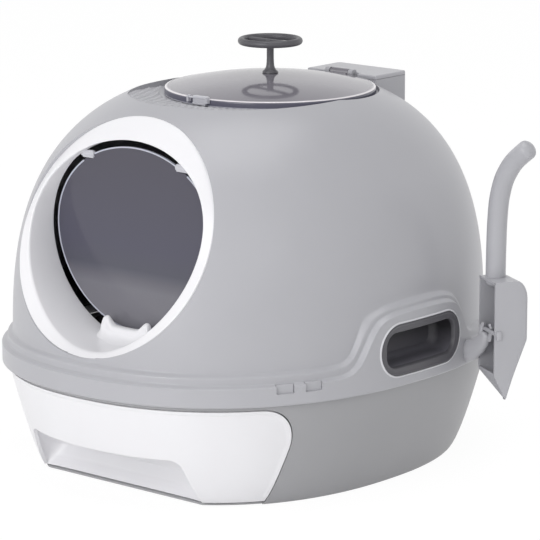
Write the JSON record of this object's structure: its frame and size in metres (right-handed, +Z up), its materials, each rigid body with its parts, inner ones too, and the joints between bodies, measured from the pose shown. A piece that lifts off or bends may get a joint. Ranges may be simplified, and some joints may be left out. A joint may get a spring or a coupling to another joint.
{
  "type": "hooded litter box",
  "caption": "Domed hooded litter box with a round front entry and swing flap, a clear-lidded roof opening, a front waste drawer and a hung scoop.",
  "frame": {"origin": "middle of the tub's flat underside", "axes": "+Z up, -Y out of the front entry and along the drawer's travel, +X towards the side that carries the scoop"},
  "size_m": [0.5409, 0.554, 0.4447],
  "materials": {
    "body_grey": "satin moulded polypropylene",
    "white_trim": "satin moulded polypropylene",
    "smoke_clear": "gloss, smoke tinted see-through sheet",
    "clear": "gloss, see-through moulding",
    "dark_grip": "satin moulded",
    "rubber": "matte",
    "carbon_felt": "matte felt",
    "screw_steel": "bright plated"
  },
  "bodies": {
    "base": {"base_pan": "body_grey", "foot_pads": "rubber", "drawer_rails": "body_grey", "rim_tabs": "body_grey"},
    "drawer": {"drawer_front": "white_trim", "drawer_grip": "white_trim", "drawer_tray": "white_trim"},
    "pan": {"litter_pan": "body_grey", "pan_rim": "body_grey"},
    "step": {"sift_step": "body_grey"},
    "hood": {"hood": "body_grey", "step_pad": "body_grey", "entry_ring": "white_trim", "flap_stop": "white_trim", "flap_socket_left": "white_trim", "flap_socket_right": "white_trim", "handle_insert_left": "dark_grip", "handle_insert_right": "dark_grip", "filter_box": "body_grey", "filter_pad": "carbon_felt", "lid_hinge_bracket": "body_grey", "lid_hinge_pin": "dark_grip", "scoop_holder": "body_grey"},
    "flap": {"flap": "smoke_clear", "flap_knuckle_left": "clear", "flap_knuckle_right": "clear"},
    "cover": {"filter_cover": "body_grey"},
    "lid": {"top_lid": "clear", "lid_knob": "dark_grip", "knob_screw": "screw_steel", "lid_latch_pin": "clear"},
    "latch": {"lid_latch": "clear"},
    "scoop": {"scoop_bowl": "body_grey", "scoop_handle": "body_grey"}
  },
  "joints": [
    {"name": "drawer_slide", "type": "slide", "parent": "base", "child": "drawer", "axis": [0, -1, 0], "range_m": [0, 0.28]},
    {"name": "pan_lift", "type": "slide", "parent": "base", "child": "pan", "axis": [0, 0, 1], "range_m": [0, 0.1]},
    {"name": "step_lift", "type": "slide", "parent": "pan", "child": "step", "axis": [0, 0, 1], "range_m": [0, 0.03]},
    {"name": "hood_lift", "type": "slide", "parent": "pan", "child": "hood", "axis": [0, 0, 1], "range_m": [0, 0.25]},
    {"name": "flap_swing", "type": "hinge", "parent": "hood", "child": "flap", "pos_m": [0, -0.18, 0.34], "axis": [1, 0, 0], "range_deg": [0, 75]},
    {"name": "cover_lift", "type": "slide", "parent": "hood", "child": "cover", "axis": [0, 0, 1], "range_m": [0, 0.03]},
    {"name": "lid_hinge", "type": "hinge", "parent": "hood", "child": "lid", "pos_m": [0, 0.15, 0.3925], "axis": [-1, 0, 0], "range_deg": [0, 80]},
    {"name": "latch_swing", "type": "hinge", "parent": "lid", "child": "latch", "pos_m": [0, -0.0845, 0.393], "axis": [-1, 0, 0], "range_deg": [0, 60]},
    {"name": "scoop_lift", "type": "slide", "parent": "hood", "child": "scoop", "axis": [0, 0, 1], "range_m": [0, 0.009]}
  ]
}
